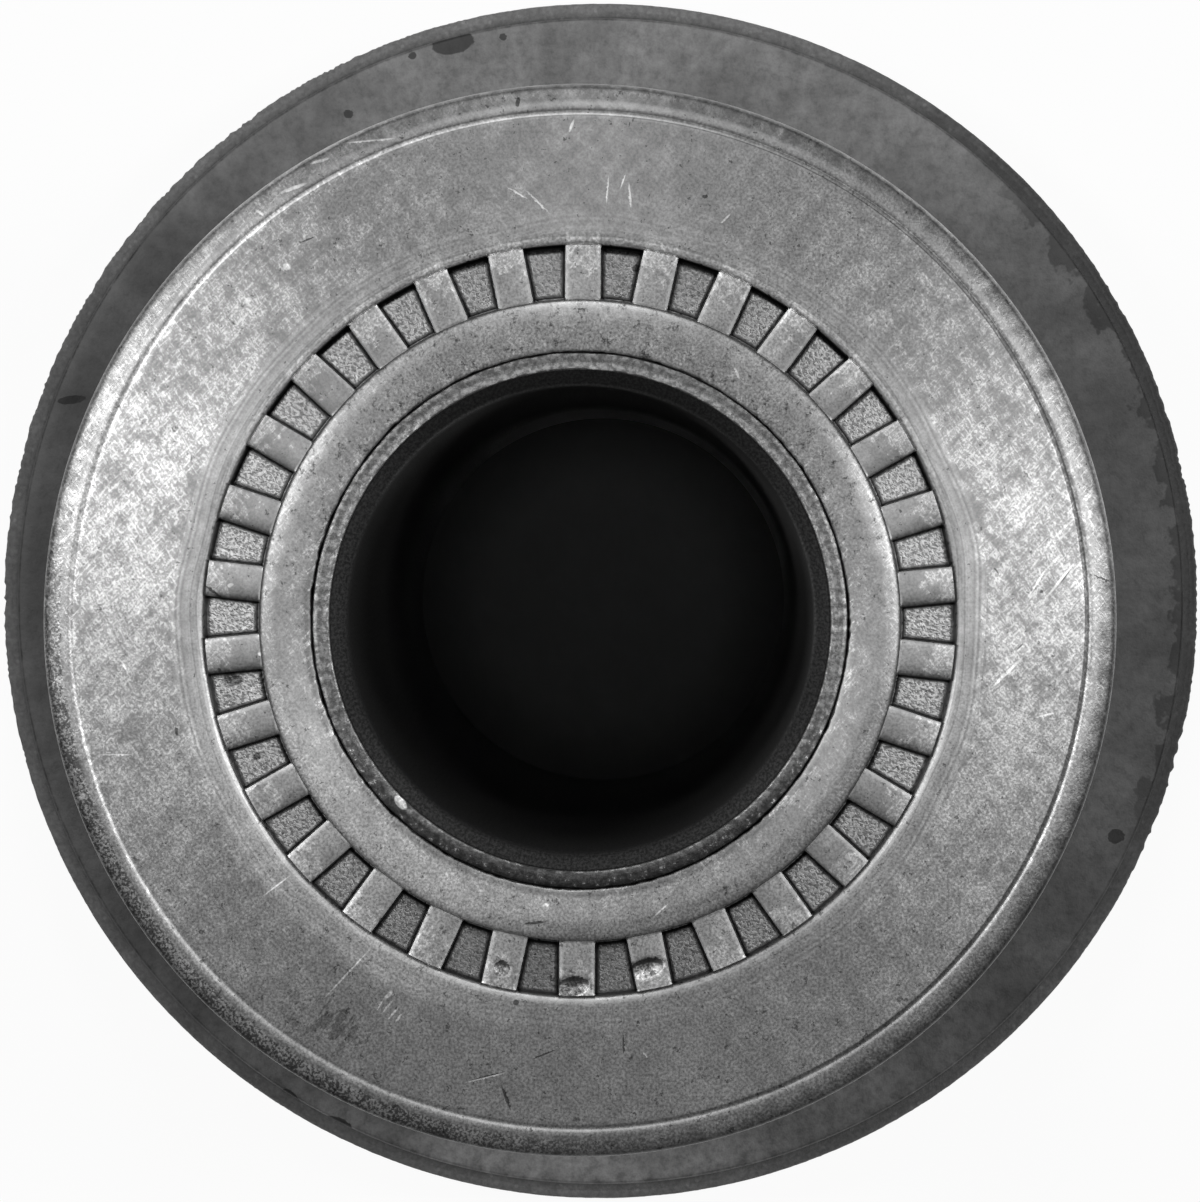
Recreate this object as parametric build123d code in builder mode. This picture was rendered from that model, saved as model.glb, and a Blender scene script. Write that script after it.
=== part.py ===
from build123d import *
import os

# A flanged rubber-metal bush, standing on the plain end of its inner sleeve.
# Z is the bolt axis, z = 0 is the plain end face and the serrated head is on top.
# All sizes are in millimetres and degrees.

# ---- liner tube: thin steel tube pressed through the inner sleeve, round the bolt
BORE_DIA = 14.0
LINER_WALL = 1.0
LINER_INSET = 0.05           # how far each end lies inside the sleeve's faces
LINER_MOUTH_WIDTH = 0.48     # chamfer of the bore's mouths, along the radius
LINER_MOUTH_DEPTH = 1.1
LINER_EDGE_CHAMFER = 0.15

# ---- inner sleeve: forged steel barrel with an upset, serrated head
SLEEVE_LENGTH = 60.0
SLEEVE_WALL = 3.0
BARREL_END_CHAMFER = 0.6
HEAD_OVERHANG = 5.0          # how far the head stands out from the barrel
HEAD_RIM_HEIGHT = 2.6        # straight part of the head's edge
HEAD_BEVEL_WIDTH = 0.75      # bevel round the face, along the radius
HEAD_BEVEL_HEIGHT = 0.5
HEAD_CONE_HEIGHT = 3.4       # cone under the head, from the rim down to the barrel
HEAD_NECK_CHAMFER = 1.2      # steeper slope where the cone runs into the barrel
HEAD_RIM_CHAMFER = 0.4

# ---- serration: a ring of ribs and pockets coined into the head's face
RIB_COUNT = 30
RIB_START_ANGLE = 5.5
RIB_WIDTH = 1.06
RIB_SINK = 0.12              # how far a rib's crest lies below the face
RIB_CROWN = 0.08             # how far a rib's shoulders lie below its crest
RIB_SHOULDER_RADIUS = 0.09
RIB_DRAFT = 0.05             # lean of each flank, from shoulder to pocket floor
RIB_ROOT = 0.1               # how far a rib is sunk in the metal round it
POCKET_DEPTH = 0.5
RING_LAND = 1.6              # plain face between the sleeve's bore and the ring
RING_WIDTH = 1.6
RING_OUTER_BEVEL = 0.08
RING_INNER_BEVEL = 0.2

# ---- outer sleeve: turned steel shell that is pressed into the arm's eye
SHELL_WALL = 2.0
SHELL_STANDOFF = 18.0        # from the head's face down to the shell's open end
SHELL_LEAD_LENGTH = 1.6      # lead-in taper at the end that goes in first
SHELL_LEAD_WIDTH = 0.5
FLANGE_SEAT = 8.9            # height of the flange's seat above the plain end
FLANGE_THICKNESS = 2.0
FLANGE_WIDTH = 4.9           # how far the flange stands out from the shell
FLANGE_EDGE_CHAMFER = 0.3
SEAT_CORNER = 0.5            # slope where the shell meets the flange's seat

# ---- rubber body: bonded to both sleeves, with a bumper under the flange
RUBBER_WALL = 4.0
RUBBER_CLIMB = 2.4           # how far the rubber climbs the barrel above the shell
RUBBER_RECESS = 0.8          # how far it starts below the shell's end
GROOVE_DEPTH = 3.2           # groove in the rubber's end, below the shell's end
GROOVE_WIDTH = 1.4           # flat bottom of that groove
LIP_WALL = 0.6               # rubber round the flange's rim
LIP_SINK = 0.4               # how far the lip stays below the flange's seat
LIP_EDGE_CHAMFER = 0.22
BUMPER_FOOT = 1.2            # height of the bumper's foot above the plain end
BUMPER_TAPER = 3.5           # how far the bumper narrows from the lip to the foot
BUMPER_SHOULDER = 1.2        # straight band of rubber below the flange
RELIEF_WIDTH = 3.2           # hollow ring between the bumper and the barrel
RELIEF_ROOF_WIDTH = 1.2
RELIEF_DEPTH = 4.4
SKIRT_DEPTH = 2.4            # from the foot up to where the rubber meets the barrel
NOTCH_COUNT = 8
NOTCH_WIDTH = 3.0
NOTCH_DEPTH = 1.3

# ---- radii, from the bolt outwards
liner_bore_r = BORE_DIA / 2
liner_r = liner_bore_r + LINER_WALL
barrel_r = liner_r + SLEEVE_WALL
head_r = barrel_r + HEAD_OVERHANG
ring_inner_r = liner_r + RING_LAND
ring_outer_r = ring_inner_r + RING_WIDTH
shell_bore_r = barrel_r + RUBBER_WALL
shell_r = shell_bore_r + SHELL_WALL
shell_mid_r = shell_r - SHELL_WALL / 2
flange_r = shell_r + FLANGE_WIDTH
lip_r = flange_r + LIP_WALL
foot_outer_r = lip_r - BUMPER_TAPER
foot_inner_r = barrel_r + RELIEF_WIDTH
relief_r = barrel_r + RELIEF_WIDTH / 2
groove_r = barrel_r + RUBBER_WALL / 2

# ---- heights, from the plain end up
bevel_z = SLEEVE_LENGTH - HEAD_BEVEL_HEIGHT
rim_z = bevel_z - HEAD_RIM_HEIGHT
neck_z = rim_z - HEAD_CONE_HEIGHT
pocket_z = SLEEVE_LENGTH - POCKET_DEPTH
crest_z = SLEEVE_LENGTH - RIB_SINK
shoulder_z = crest_z - RIB_CROWN
shell_top = SLEEVE_LENGTH - SHELL_STANDOFF
flange_under = FLANGE_SEAT - FLANGE_THICKNESS
lip_top = FLANGE_SEAT - LIP_SINK
liner_foot = LINER_INSET
liner_top = SLEEVE_LENGTH - LINER_INSET

os.makedirs("parts", exist_ok=True)


def corner_at(section, radius, height):
    """The corner of a section being drawn that lies at this radius and height."""
    return section.vertices().sort_by_distance((radius, height))[0]


# ---- one rib of the serration, lying along +X, its root sunk in the sleeve
rib_half = RIB_WIDTH / 2
rib_foot_half = rib_half + RIB_DRAFT

with BuildPart() as rib:
    with BuildSketch(Plane.YZ.offset(ring_inner_r - RIB_ROOT)) as rib_section:
        with BuildLine():
            crown = ThreePointArc((-rib_half, shoulder_z), (0, crest_z), (rib_half, shoulder_z))
            Polyline(
                crown @ 1,
                (rib_foot_half, pocket_z),
                (rib_foot_half, pocket_z - RIB_ROOT),
                (-rib_foot_half, pocket_z - RIB_ROOT),
                (-rib_foot_half, pocket_z),
                crown @ 0,
            )
        make_face()
        fillet(corner_at(rib_section, -rib_half, shoulder_z), RIB_SHOULDER_RADIUS)
        fillet(corner_at(rib_section, rib_half, shoulder_z), RIB_SHOULDER_RADIUS)
    extrude(amount=RING_WIDTH + 2 * RIB_ROOT)


# ---- inner sleeve
with BuildPart() as inner_sleeve:
    with BuildSketch(Plane.XZ) as sleeve_section:
        with BuildLine():
            Polyline(
                (liner_r, 0),
                (barrel_r, 0),
                (barrel_r, neck_z),
                (head_r, rim_z),
                (head_r, bevel_z),
                (head_r - HEAD_BEVEL_WIDTH, SLEEVE_LENGTH),
                (ring_outer_r, SLEEVE_LENGTH),
                (ring_outer_r, pocket_z),
                (ring_inner_r, pocket_z),
                (ring_inner_r, SLEEVE_LENGTH),
                (liner_r, SLEEVE_LENGTH),
                close=True,
            )
        make_face()
        chamfer(corner_at(sleeve_section, barrel_r, neck_z), HEAD_NECK_CHAMFER)
        chamfer(corner_at(sleeve_section, head_r, rim_z), HEAD_RIM_CHAMFER)
        chamfer(corner_at(sleeve_section, ring_inner_r, SLEEVE_LENGTH), RING_INNER_BEVEL)
        chamfer(corner_at(sleeve_section, ring_outer_r, SLEEVE_LENGTH), RING_OUTER_BEVEL)
        chamfer(corner_at(sleeve_section, barrel_r, 0), BARREL_END_CHAMFER)
    revolve(axis=Axis.Z)
    with PolarLocations(0, RIB_COUNT, start_angle=RIB_START_ANGLE):
        add(rib.part)
inner_sleeve.part.label = "inner_sleeve"
export_step(inner_sleeve.part, "parts/inner_sleeve.step")


# ---- liner tube
with BuildPart() as liner_tube:
    with BuildSketch(Plane.XZ) as liner_section:
        with BuildLine():
            Polyline(
                (liner_r, liner_foot),
                (liner_r, liner_top),
                (liner_bore_r + LINER_MOUTH_WIDTH, liner_top),
                (liner_bore_r, liner_top - LINER_MOUTH_DEPTH),
                (liner_bore_r, liner_foot + LINER_MOUTH_DEPTH),
                (liner_bore_r + LINER_MOUTH_WIDTH, liner_foot),
                close=True,
            )
        make_face()
        chamfer(corner_at(liner_section, liner_r, liner_foot), LINER_EDGE_CHAMFER)
        chamfer(corner_at(liner_section, liner_r, liner_top), LINER_EDGE_CHAMFER)
    revolve(axis=Axis.Z)
liner_tube.part.label = "liner_tube"
export_step(liner_tube.part, "parts/liner_tube.step")


# ---- outer sleeve
with BuildPart() as outer_sleeve:
    with BuildSketch(Plane.XZ) as shell_section:
        with BuildLine():
            Polyline(
                (shell_bore_r, flange_under),
                (flange_r, flange_under),
                (flange_r, FLANGE_SEAT),
                (shell_r + SEAT_CORNER, FLANGE_SEAT),
                (shell_r, FLANGE_SEAT + SEAT_CORNER),
                (shell_r, shell_top - SHELL_LEAD_LENGTH),
                (shell_r - SHELL_LEAD_WIDTH, shell_top),
                (shell_bore_r, shell_top),
                close=True,
            )
        make_face()
        chamfer(corner_at(shell_section, flange_r, FLANGE_SEAT), FLANGE_EDGE_CHAMFER)
    revolve(axis=Axis.Z)
outer_sleeve.part.label = "outer_sleeve"
export_step(outer_sleeve.part, "parts/outer_sleeve.step")


# ---- rubber body: one moulding that fills the space between the sleeves,
# ---- runs out under the flange as a bumper and wraps the flange's rim
with BuildPart() as rubber_body:
    with BuildSketch(Plane.XZ) as rubber_section:
        with BuildLine():
            Polyline(
                (barrel_r, BUMPER_FOOT + SKIRT_DEPTH),
                (relief_r - RELIEF_ROOF_WIDTH / 2, BUMPER_FOOT + RELIEF_DEPTH),
                (relief_r + RELIEF_ROOF_WIDTH / 2, BUMPER_FOOT + RELIEF_DEPTH),
                (foot_inner_r, BUMPER_FOOT),
                (foot_outer_r, BUMPER_FOOT),
                (lip_r, flange_under - BUMPER_SHOULDER),
                (lip_r, lip_top),
                (shell_mid_r, lip_top),
                (shell_mid_r, shell_top - RUBBER_RECESS),
                (shell_bore_r, shell_top - RUBBER_RECESS),
                (groove_r + GROOVE_WIDTH / 2, shell_top - GROOVE_DEPTH),
                (groove_r - GROOVE_WIDTH / 2, shell_top - GROOVE_DEPTH),
                (barrel_r, shell_top + RUBBER_CLIMB),
                close=True,
            )
        make_face()
        chamfer(corner_at(rubber_section, lip_r, lip_top), LIP_EDGE_CHAMFER)
        add(shell_section.sketch, mode=Mode.SUBTRACT)
    revolve(axis=Axis.Z)
    with BuildSketch(Plane.XY.offset(BUMPER_FOOT)):
        with PolarLocations((foot_inner_r + lip_r) / 2, NOTCH_COUNT):
            Rectangle(lip_r - foot_inner_r + NOTCH_WIDTH, NOTCH_WIDTH)
    extrude(amount=NOTCH_DEPTH, mode=Mode.SUBTRACT)
rubber_body.part.label = "rubber_body"
export_step(rubber_body.part, "parts/rubber_body.step")
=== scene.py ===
"""Looks of a flanged rubber-metal bush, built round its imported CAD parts.

The bush stands on the plain end of its inner sleeve, with its serrated head on top.
Lengths in the settings are metres; the modelling code below them works in millimetres.
"""

import math

import bpy
import numpy as np
from bpy.props import FloatProperty, FloatVectorProperty, IntProperty, PointerProperty
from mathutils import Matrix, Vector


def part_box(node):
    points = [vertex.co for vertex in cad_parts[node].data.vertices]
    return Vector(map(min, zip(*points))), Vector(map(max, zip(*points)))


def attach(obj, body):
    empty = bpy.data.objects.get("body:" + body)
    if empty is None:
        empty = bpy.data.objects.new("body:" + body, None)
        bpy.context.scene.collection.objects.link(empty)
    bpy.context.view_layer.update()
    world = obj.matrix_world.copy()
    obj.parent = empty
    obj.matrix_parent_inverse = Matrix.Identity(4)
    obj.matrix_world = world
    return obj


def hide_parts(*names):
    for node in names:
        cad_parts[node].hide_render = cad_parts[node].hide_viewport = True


bl_info = {
    "name": "Flanged Rubber-Metal Bush",
    "version": (1, 0, 0),
    "blender": (4, 5, 0),
    "location": "3D View > Sidebar > Bush",
    "description": "Builds the detailed sleeves, rubber, finishes and studio of a flanged bush",
    "category": "Object",
}

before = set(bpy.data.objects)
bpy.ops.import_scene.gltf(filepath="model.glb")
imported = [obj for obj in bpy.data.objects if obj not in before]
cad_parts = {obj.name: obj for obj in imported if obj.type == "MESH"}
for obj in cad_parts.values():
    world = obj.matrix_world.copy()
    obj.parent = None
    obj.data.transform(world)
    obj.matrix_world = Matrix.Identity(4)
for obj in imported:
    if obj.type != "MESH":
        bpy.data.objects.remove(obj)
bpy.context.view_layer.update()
SLEEVE_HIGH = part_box("inner_sleeve")[1]
LINER_LOW, LINER_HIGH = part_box("liner_tube")
SHELL_LOW, SHELL_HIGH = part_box("outer_sleeve")
RUBBER_LOW, RUBBER_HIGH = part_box("rubber_body")

MM = 0.001
TURN = 2 * math.pi

# ---- sizes in mm that several pieces share
HEAD_R = SLEEVE_HIGH.y / MM
SLEEVE_TOP = SLEEVE_HIGH.z / MM
LINER_R = LINER_HIGH.y / MM
LINER_TOP = LINER_HIGH.z / MM
LINER_FOOT = LINER_LOW.z / MM
FLANGE_R = SHELL_HIGH.y / MM
FLANGE_UNDER = SHELL_LOW.z / MM
SHELL_TOP = SHELL_HIGH.z / MM
LIP_R = min(RUBBER_HIGH.x, RUBBER_HIGH.y, -RUBBER_LOW.x, -RUBBER_LOW.y) / MM
BUMPER_FOOT = RUBBER_LOW.z / MM
RUBBER_TOP = RUBBER_HIGH.z / MM
BARREL_R = 11.0
BORE_R = 7.0
SHELL_R = 17.0
SHELL_BORE_R = 15.0
FLANGE_SEAT = 8.9
LIP_TOP = 8.5

# ---- serration, in mm and degrees
RIB_COUNT = 30
RIB_START = 5.5
RIB_HALF = 0.53
RIB_DRAFT = 0.05
RIB_FOOT = RIB_HALF + RIB_DRAFT
RIB_SINK = 0.12
RIB_CROWN = 0.01
RIB_SHOULDER = (0.52, 0.538)
RIB_OFFSETS = np.array([0.58, 0.56, RIB_SHOULDER[1], 0.526, 0.46, 0.37, 0.25, 0.125])
POCKET_DEPTH = 0.5
POCKET_WALLS = (9.56, 9.60, 11.14, 11.20)
RING_IN = 9.6
RING_OUT = 11.2
SECTOR = TURN / RIB_COUNT

# ---- points round one ring, or in one pocket, of each mesh
POCKET_COLUMNS = 19
LINER_COLUMNS = 540
SHELL_COLUMNS = 720
RUBBER_COLUMNS = 600
DISC_COLUMNS = 96


# ======== mesh building


def arc(centre, radius, start, end, count):
    """Points (r, z) on an arc of a section, from the start to the end angle in degrees."""
    angles = np.radians(np.linspace(start, end, count))
    return [(centre[0] + radius * math.cos(a), centre[1] + radius * math.sin(a)) for a in angles]


def line(start, end, count):
    """Points (r, z) spread evenly from start up to, but not on, end."""
    steps = np.linspace(0, 1, count, endpoint=False)
    return [(start[0] + (end[0] - start[0]) * t, start[1] + (end[1] - start[1]) * t) for t in steps]


def round_angles(count):
    """Angles of this many points spread evenly round the axis."""
    return np.linspace(0, TURN, count, endpoint=False)


def nearest_turn(angles, pitch, start=0.0):
    """Angles from the nearest of the places that are one pitch apart, the first of them at start."""
    return (angles - start + pitch / 2) % pitch - pitch / 2


def ring(radius, height, angles):
    """A ring of points round the axis; radius and height may vary with the angle."""
    radius, height = np.broadcast_to(radius, angles.shape), np.broadcast_to(height, angles.shape)
    return np.stack([radius * np.cos(angles), radius * np.sin(angles), height], axis=1)


def band_faces(first, count, next_first, next_count):
    """Faces between two rings: quads, or five-sided ones where one ring has twice the points."""
    few = np.arange(min(count, next_count))
    after = (few + 1) % len(few)
    if count == next_count:
        return np.stack([first + few, next_first + few, next_first + after, first + after], axis=1)
    if count == 2 * next_count:
        corners = [first + 2 * few, next_first + few, next_first + after]
        return np.stack(corners + [first + 2 * after, first + 2 * few + 1], axis=1)
    corners = [first + few, next_first + 2 * few, next_first + 2 * few + 1]
    return np.stack(corners + [next_first + 2 * after, first + after], axis=1)


def add_object(name, data):
    """A new object of the scene, at the origin."""
    made = bpy.data.objects.new(name, data)
    bpy.context.scene.collection.objects.link(made)
    return made


def skin(name, rings, sharp_angle=38.0):
    """A closed object from rings of points in mm, the last joined to the first."""
    counts = [len(r) for r in rings]
    starts = np.concatenate([[0], np.cumsum(counts)[:-1]])
    faces = []
    for i in range(len(rings)):
        j = (i + 1) % len(rings)
        faces += band_faces(starts[i], counts[i], starts[j], counts[j]).tolist()
    mesh = bpy.data.meshes.new(name)
    mesh.from_pydata((np.concatenate(rings) * MM).tolist(), [], faces)
    mesh.validate()
    mesh.shade_smooth()
    mesh.set_sharp_from_angle(angle=math.radians(sharp_angle))
    return add_object(name, mesh)


def paint(made, name, values):
    """Stores one number for each point of a mesh, for its material to read."""
    layer = made.data.attributes.new(name, "FLOAT", "POINT")
    layer.data.foreach_set("value", np.asarray(values, np.float32))


def place(made, slot, material, *nodes):
    """Gives a finished piece its material and body, and hides the CAD nodes it stands for. Its slot is not
    used.
    """
    made.data.materials.append(material)
    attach(made, "root")
    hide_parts(*nodes)


def waves(angles, seed, slowest, fastest):
    """A smooth random curve round the axis, about -1 to 1, the same on each run."""
    draw = np.random.default_rng(seed)
    total = np.zeros_like(angles)
    for n in range(slowest, fastest + 1):
        total += draw.normal() * np.cos(n * angles + draw.uniform(0, TURN))
    return total / math.sqrt(fastest - slowest + 1)


# ======== node building

WRAP_R = 15.0                 # walls are unrolled as if they had this radius, in mm
UPRIGHT = 0.5                 # a face whose normal rises less than this counts as a wall


class Graph:
    """Short calls that add nodes to one node tree and link them."""

    def __init__(self, tree):
        self.tree = tree

    def feed(self, socket, value):
        """Links a socket to value, or sets it if value is a number, colour or vector."""
        if isinstance(value, bpy.types.NodeSocket):
            self.tree.links.new(value, socket)
        elif value is not None:
            socket.default_value = value

    def node(self, kind, sockets=(), **settings):
        """A node with these settings, its inputs fed by name or number."""
        made = self.tree.nodes.new(kind)
        for key, value in settings.items():
            setattr(made, key, value)
        for key, value in dict(sockets).items():
            self.feed(made.inputs[key], value)
        return made

    def math(self, operation, *values, clamp=False):
        sockets = dict(enumerate(values))
        return self.node("ShaderNodeMath", sockets, operation=operation, use_clamp=clamp).outputs[0]

    def chain(self, operation, values):
        """One result of several values, taken in one after another."""
        result = values[0]
        for value in values[1:]:
            result = self.math(operation, result, value)
        return result

    def total(self, *values):
        return self.chain("ADD", values)

    def product(self, *values):
        return self.chain("MULTIPLY", values)

    def most(self, *values):
        return self.chain("MAXIMUM", values)

    def fit(self, value, low, high, out_low=0.0, out_high=1.0, kind="SMOOTHSTEP"):
        """value carried softly from low..high to out_low..out_high, and held at the ends."""
        sockets = {0: value, 1: low, 2: high, 3: out_low, 4: out_high}
        return self.node("ShaderNodeMapRange", sockets, interpolation_type=kind).outputs[0]

    def ramp(self, value, low, high, out_low, out_high):
        """value carried evenly from low..high to out_low..out_high, and held at the ends."""
        return self.fit(value, low, high, out_low, out_high, "LINEAR")

    def fade(self, value, low, high):
        """1 below low, fading to 0 at high."""
        return self.fit(value, low, high, 1.0, 0.0)

    def band(self, value, low, high, soft):
        """1 where value lies between low and high, fading over soft outside them."""
        return self.product(self.fit(value, low - soft, low), self.fade(value, high, high + soft))

    def mix(self, factor, a, b):
        return self.node("ShaderNodeMix", {0: factor, 2: a, 3: b}, data_type="FLOAT").outputs[0]

    def toned(self, tone, *parts):
        """tone, taken times each part's factor as far as that part's mask is 1."""
        return self.product(tone, *(self.mix(mask, 1.0, factor) for mask, factor in parts))

    def facing(self, angle, way=0.0):
        """1 on the side of the axis that the angle way, in radians, points to, and -1 opposite."""
        return self.math("COSINE", self.total(angle, -way))

    def noise(self, vector, scale, detail=2.0, roughness=0.5):
        """Noise over the two numbers of a flat place."""
        sockets = {"Vector": vector, "Scale": scale, "Detail": detail, "Roughness": roughness}
        return self.node("ShaderNodeTexNoise", sockets, noise_dimensions="2D").outputs[0]

    def vector(self, x, y):
        return self.node("ShaderNodeCombineXYZ", {0: x, 1: y}).outputs[0]

    def vectors(self, operation, first, second=None, output="Vector"):
        """Vector maths on one or two vectors."""
        sockets = {0: first, 1: second}
        return self.node("ShaderNodeVectorMath", sockets, operation=operation).outputs[output]

    def tint(self, colour, factor):
        """A colour made lighter or darker, or a vector made longer or shorter, by a factor."""
        return self.node("ShaderNodeVectorMath", {0: colour, 3: factor}, operation="SCALE").outputs[0]

    def turned(self, vector, angle, stretch):
        """Coordinates turned about Z by an angle in degrees, then stretched."""
        sockets = {"Vector": vector, "Angle": math.radians(angle)}
        spun = self.node("ShaderNodeVectorRotate", sockets, rotation_type="Z_AXIS").outputs[0]
        return self.vectors("MULTIPLY", spun, stretch)

    def shift(self, vector, offset):
        return self.vectors("ADD", vector, offset)

    def attribute(self, name):
        return self.node("ShaderNodeAttribute", attribute_name=name).outputs["Fac"]

    def oval(self, place, middle, half_length, half_width, turn, core=0.5):
        """An oval mark with its middle at x, y, turned anticlockwise by an angle in degrees."""
        x, y = math.cos(math.radians(turn)), math.sin(math.radians(turn))
        along, across = (x / half_length, y / half_length, 0), (-y / half_width, x / half_width, 0)
        return self.mask("Oval Mark", Place=place, Middle=(*middle, 0), Core=core, Along=along, Across=across)

    def ovals(self, place, marks, core=0.5):
        """All of several oval marks, each of middle, half length, half width and turn."""
        return self.most(*(self.oval(place, *mark, core) for mark in marks))

    def group(self, name, **sockets):
        """A shared node group placed here, its inputs fed by name."""
        made = self.node("ShaderNodeGroup")
        made.node_tree = bpy.data.node_groups[name]
        for key, value in sockets.items():
            self.feed(made.inputs[key], value)
        return made.outputs

    def mask(self, name, **sockets):
        return self.group(name, **sockets)["Mask"]


def effect(name, inputs, outputs=(("Mask", "Float"),)):
    """A new shared effect: its graph and the sockets that come in and go out of it."""
    tree = bpy.data.node_groups.new(name, "ShaderNodeTree")
    for label, kind, default in inputs:
        socket = tree.interface.new_socket(label, in_out="INPUT", socket_type="NodeSocket" + kind)
        if default is not None:
            socket.default_value = default
    for label, kind in outputs:
        tree.interface.new_socket(label, in_out="OUTPUT", socket_type="NodeSocket" + kind)
    graph = Graph(tree)
    return graph, graph.node("NodeGroupInput").outputs, graph.node("NodeGroupOutput").inputs


def make_place_effect():
    """Where a point lies on the turned part, in mm, and laid out flat for surface patterns."""
    outputs = [("Flat", "Vector"), ("Radius", "Float"), ("Angle", "Float"), ("Height", "Float")]
    g, _, out = effect("Turned Place", [], outputs)
    place_mm = g.tint(g.node("ShaderNodeTexCoord").outputs["Object"], 1 / MM)
    x, y, z = g.node("ShaderNodeSeparateXYZ", {0: place_mm}).outputs
    angle = g.math("ARCTAN2", y, x)
    normal = g.node("ShaderNodeNewGeometry").outputs["True Normal"]
    rise = g.math("ABSOLUTE", g.node("ShaderNodeSeparateXYZ", {0: normal}).outputs[2])
    sockets = {0: g.math("LESS_THAN", rise, UPRIGHT), 4: place_mm, 5: g.vector(g.product(angle, WRAP_R), z)}
    g.feed(out["Flat"], g.node("ShaderNodeMix", sockets, data_type="VECTOR").outputs[1])
    g.feed(out["Radius"], g.math("SQRT", g.total(g.math("POWER", x, 2.0), g.math("POWER", y, 2.0))))
    g.feed(out["Angle"], angle)
    g.feed(out["Height"], z)


def make_stroke_effect():
    """Short crossing strokes left by grit and handling."""
    inputs = [("Place", "Vector", None), ("Width", "Float", 0.06), ("Length", "Float", 0.18)]
    g, given, out = effect("Crossed Strokes", inputs)
    layers = []
    for number, (degrees, longer) in enumerate(((47, 1.6), (-58, 1.0))):
        along = g.math("DIVIDE", 1.0 / longer, given["Length"])
        across = g.math("DIVIDE", 1.0, given["Width"])
        laid = g.turned(given["Place"], -degrees, g.vector(along, across))
        layers.append(g.noise(g.shift(laid, (number * 37.3, number * 11.7, 0)), 1.0, 1.0, 0.7))
    g.feed(out["Mask"], g.fit(g.most(*layers), 0.52, 0.74))


def make_worm_effect():
    """Packed, short curled grains, as left by coining or shot blasting."""
    g, given, out = effect("Worm Grain", [("Place", "Vector", None), ("Size", "Float", 0.12)])
    scale = g.math("DIVIDE", 1.0, given["Size"])
    layers = (g.noise(g.turned(given["Place"], angle, (0.55, 1.0, 1.0)), scale, 1.0) for angle in (65, 20))
    g.feed(out["Mask"], g.fit(g.most(*layers), 0.44, 0.68))


def make_lathe_effect():
    """Fine rings left by a turning tool, each a little uneven round the axis."""
    inputs = [("Along", "Float", 0.0), ("Place", "Vector", None), ("Pitch", "Float", 0.1)]
    g, given, out = effect("Turning Marks", inputs)
    wander = g.ramp(g.noise(given["Place"], 0.3, 0.0), 0.0, 1.0, -0.15, 0.15)
    along = g.math("DIVIDE", g.total(given["Along"], wander), given["Pitch"])
    sockets = {"W": along, "Scale": 1.0, "Detail": 2.0, "Roughness": 0.6}
    rings = g.node("ShaderNodeTexNoise", sockets, noise_dimensions="1D").outputs[0]
    g.feed(out["Mask"], g.ramp(rings, 0.25, 0.75, 0.0, 1.0))


def make_speck_effect():
    """Small scattered specks, such as pits, dust or paint."""
    inputs = [("Place", "Vector", None), ("Spacing", "Float", 0.5), ("Fill", "Float", 0.15)]
    g, given, out = effect("Specks", inputs)
    sockets = {"Vector": given["Place"], "Scale": g.math("DIVIDE", 1.0, given["Spacing"]), "Randomness": 1.0}
    cells = g.node("ShaderNodeTexVoronoi", sockets, voronoi_dimensions="2D", feature="F1")
    core = g.product(given["Fill"], 0.6)
    g.feed(out["Mask"], g.fade(cells.outputs["Distance"], core, given["Fill"]))


def make_oval_effect():
    """One oval spot: a dent, chip, blot or, long and thin, a scratch; 1 inside it, 0 away from it."""
    inputs = [("Place", "Vector", None), ("Middle", "Vector", (0, 0, 0)), ("Along", "Vector", (1, 0, 0))]
    inputs += [("Across", "Vector", (0, 1, 0)), ("Core", "Float", 0.5)]
    g, given, out = effect("Oval Mark", inputs)
    away = g.vectors("SUBTRACT", given["Place"], given["Middle"])
    long, wide = (g.vectors("DOT_PRODUCT", away, given[name], "Value") for name in ("Along", "Across"))
    apart = g.math("MULTIPLY_ADD", long, long, g.product(wide, wide))
    g.feed(out["Mask"], g.fade(apart, given["Core"], 1.0))


EFFECTS = (
    make_place_effect,
    make_stroke_effect,
    make_worm_effect,
    make_lathe_effect,
    make_speck_effect,
    make_oval_effect,
)


def surface(name):
    """A new material: its graph, its shader's inputs, and where each of its points lies."""
    material = bpy.data.materials.new(name)
    material.use_nodes = True
    g = Graph(material.node_tree)
    shader = material.node_tree.nodes["Principled BSDF"]
    where = g.group("Turned Place")
    return material, g, shader.inputs, [where[name] for name in ("Flat", "Radius", "Angle", "Height")]


def bump(g, height, depth_mm):
    """A normal from a height mask that is depth_mm deep."""
    return g.node("ShaderNodeBump", {"Height": height, "Distance": depth_mm * MM}).outputs[0]


# ======== settings


class BUSH_PG_head(bpy.types.PropertyGroup):
    steel: FloatVectorProperty(
        name="Steel", description="Colour of the head's bare steel", subtype="COLOR",
        default=(0.24, 0.24, 0.24), min=0, max=1)
    # scuffs also scales the painted glints, heavier at the sides of the face
    scuffs: FloatProperty(
        name="Scuffs", description="How much of the contact face is covered by bright scuffs",
        subtype="FACTOR", default=0.5, min=0, max=1)
    pocket_grain: FloatProperty(
        name="Pocket Grain", description="Height of the grain on the pockets' floors",
        subtype="DISTANCE", unit="LENGTH", default=0.003 * MM, min=0, precision=6)


class BUSH_PG_liner(bpy.types.PropertyGroup):
    steel: FloatVectorProperty(
        name="Steel", description="Colour of the tube's end face", subtype="COLOR",
        default=(0.20, 0.20, 0.20), min=0, max=1)
    bore: FloatVectorProperty(
        name="Bore", description="Colour of the oily scale inside the bore", subtype="COLOR",
        default=(0.03, 0.03, 0.03), min=0, max=1)


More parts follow.
